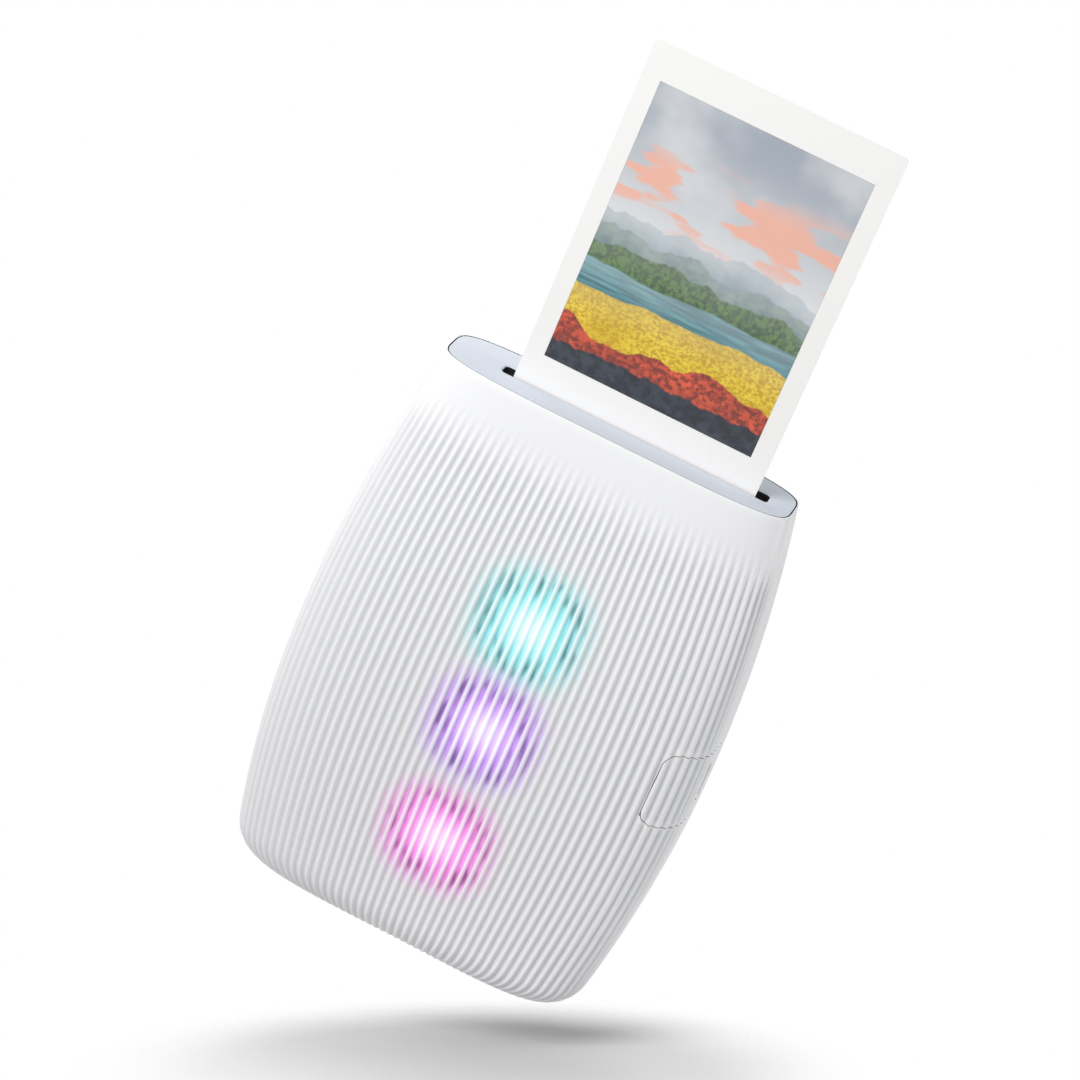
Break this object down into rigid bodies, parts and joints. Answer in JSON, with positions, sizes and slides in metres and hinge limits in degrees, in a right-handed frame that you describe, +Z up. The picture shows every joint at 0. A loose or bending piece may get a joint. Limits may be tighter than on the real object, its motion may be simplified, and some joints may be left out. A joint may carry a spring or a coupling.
{
  "type": "compact photo printer",
  "caption": "Small upright instant-film printer: fluted barrel housing lit from inside, top slot with a print standing in it, film door at the back.",
  "frame": {"origin": "middle of the flat base", "axes": "+Z up, -Y the lit front, +X the charging-port side"},
  "size_m": [0.0904, 0.0372, 0.2005],
  "materials": {
    "housing_white": "satin moulded plastic",
    "plate_grey": "matte pale blue-grey plastic",
    "black_plastic": "matte",
    "dark_plastic": "fine matte",
    "grey_plastic": "fine matte",
    "steel": "plain",
    "dark_steel": "blackened",
    "brass": "plain",
    "gear_white": "plain",
    "rubber": "ground smooth",
    "card": "smooth satin card",
    "picture": "gloss print",
    "film_dark": "satin",
    "board_green": "solder mask",
    "battery_foil": "foil pouch",
    "foam": "foam pad",
    "lens": "clear",
    "chip": "plain",
    "light_cyan": "frosted, lit",
    "light_violet": "frosted, lit",
    "light_magenta": "frosted, lit"
  },
  "bodies": {
    "housing": {"front_cover": "housing_white", "rear_cover": "housing_white", "port_panel": "housing_white", "top_plate": "plate_grey", "slot_guide": "black_plastic", "chassis": "dark_plastic", "housing_screws": "dark_steel", "roller_frame": "steel", "gear_pins": "steel", "motor": "steel", "exposure_head": "dark_plastic", "head_lens": "lens", "film_pack_shell": "black_plastic", "film_stack": "film_dark", "pack_pressure_plate": "dark_steel", "main_board": "board_green", "shield_can": "steel", "battery": "battery_foil", "light_board": "board_green", "light_chips": "chip", "light_diffuser_top": "light_cyan", "light_diffuser_middle": "light_violet", "light_diffuser_bottom": "light_magenta", "usb_shell": "steel", "usb_tongue": "black_plastic", "port_board": "board_green", "power_switch": "dark_plastic", "hinge_pin": "steel"},
    "film_door": {"film_door": "housing_white", "door_liner": "dark_plastic", "pressure_pads": "foam"},
    "door_latch": {"door_latch": "grey_plastic", "latch_spring": "steel"},
    "power_button": {"power_button": "housing_white"},
    "film_claw": {"film_claw": "steel"},
    "print": {"print_card": "card", "print_picture": "picture"},
    "drive_roller": {"drive_roller": "steel", "drive_roller_gear": "gear_white"},
    "pinch_roller": {"pinch_roller": "rubber", "pinch_roller_gear": "gear_white"},
    "idler_gear": {"idler_gear": "gear_white"},
    "reduction_gear": {"reduction_gear": "gear_white"},
    "motor_pinion": {"motor_pinion": "brass"}
  },
  "joints": [
    {"name": "film_door_hinge", "type": "hinge", "parent": "housing", "child": "film_door", "pos_m": [0, 0.01352, 0.0092], "axis": [-1, 0, 0], "range_deg": [0, 90]},
    {"name": "door_latch_slide", "type": "slide", "parent": "film_door", "child": "door_latch", "axis": [0, 0, -1], "range_m": [0, 0.004], "stiffness_N_per_m": 200, "springref_m": -0.002, "deforming": ["latch_spring"]},
    {"name": "power_button_press", "type": "slide", "parent": "housing", "child": "power_button", "axis": [1, 0, 0], "range_m": [0, 0.0005], "stiffness_N_per_m": 800, "springref_m": -0.0005},
    {"name": "film_claw_stroke", "type": "slide", "parent": "housing", "child": "film_claw", "axis": [0, 0, 1], "range_m": [0, 0.009]},
    {"name": "print_slide", "type": "slide", "parent": "housing", "child": "print", "axis": [0, 0, 1], "range_m": [-0.084, 0.01]},
    {"name": "drive_roller_spin", "type": "hinge", "parent": "housing", "child": "drive_roller", "pos_m": [0, -0.00455, 0.116], "axis": [1, 0, 0], "continuous": true},
    {"name": "pinch_roller_spin", "type": "hinge", "parent": "housing", "child": "pinch_roller", "pos_m": [0, 0.00085, 0.116], "axis": [1, 0, 0], "continuous": true},
    {"name": "idler_spin", "type": "hinge", "parent": "housing", "child": "idler_gear", "pos_m": [0, -0.00396, 0.10928], "axis": [1, 0, 0], "continuous": true},
    {"name": "reduction_spin", "type": "hinge", "parent": "housing", "child": "reduction_gear", "pos_m": [0, -0.00111, 0.10316], "axis": [1, 0, 0], "continuous": true},
    {"name": "motor_pinion_spin", "type": "hinge", "parent": "housing", "child": "motor_pinion", "pos_m": [0, -0.00864, 0.09912], "axis": [1, 0, 0], "continuous": true}
  ],
  "couplings": [
    {"joint": "pinch_roller_spin", "follows": "drive_roller_spin", "ratio": -1},
    {"joint": "idler_spin", "follows": "drive_roller_spin", "ratio": -0.66667},
    {"joint": "reduction_spin", "follows": "drive_roller_spin", "ratio": 1},
    {"joint": "motor_pinion_spin", "follows": "drive_roller_spin", "ratio": -3.75}
  ]
}
